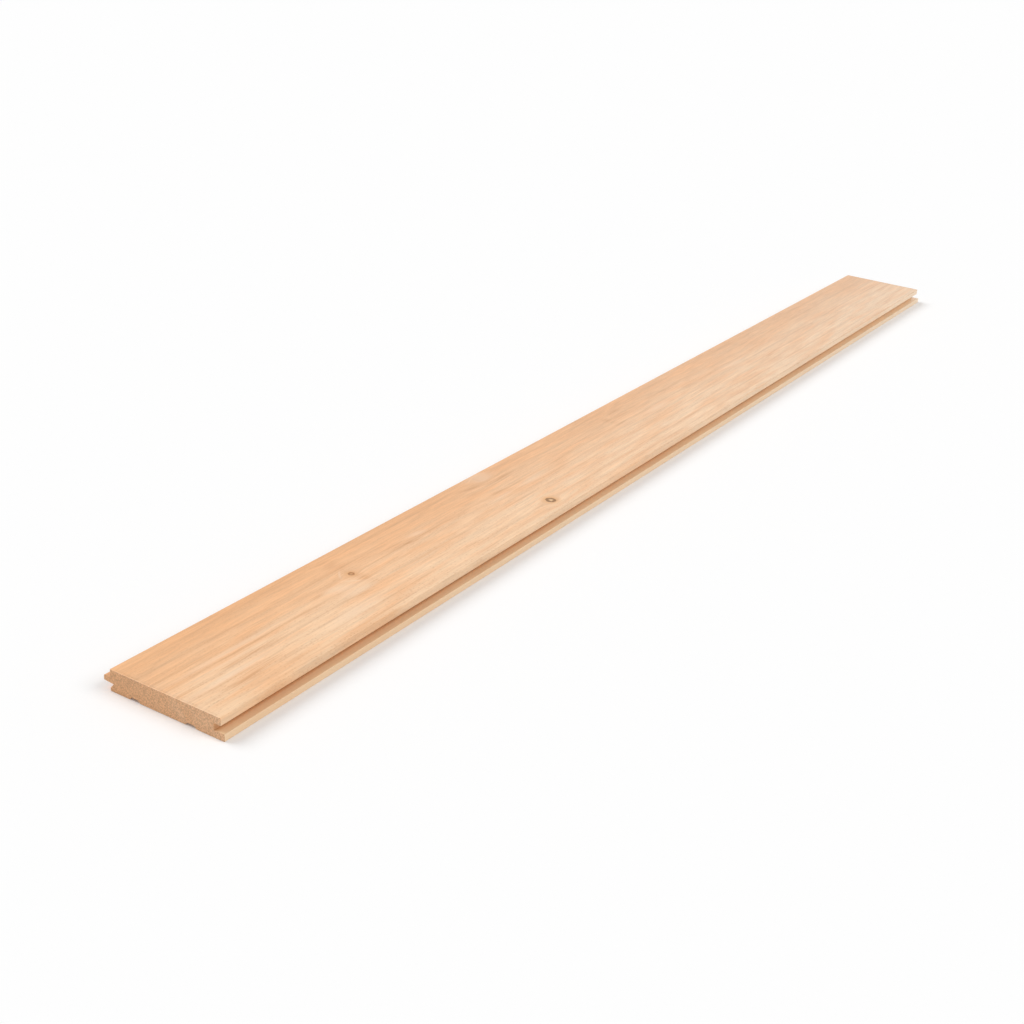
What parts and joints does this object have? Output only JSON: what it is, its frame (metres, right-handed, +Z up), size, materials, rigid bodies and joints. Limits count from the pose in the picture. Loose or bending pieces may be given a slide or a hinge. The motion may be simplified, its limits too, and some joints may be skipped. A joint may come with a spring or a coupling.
{
  "type": "tongue and groove board",
  "caption": "Planed hardwood board with a tongue on one long edge, a groove with a longer lower lip on the other, and relief grooves underneath; lies face up.",
  "frame": {"origin": "on the underside, in the middle of the length and of the overall width over the tongue", "axes": "+X along the board, +Y towards the tongue, +Z up through the thickness to the face"},
  "size_m": [1.6, 0.127, 0.02],
  "materials": {
    "planed_hardwood": "matte"
  },
  "bodies": {
    "root": {"board": "planed_hardwood"}
  },
  "joints": []
}
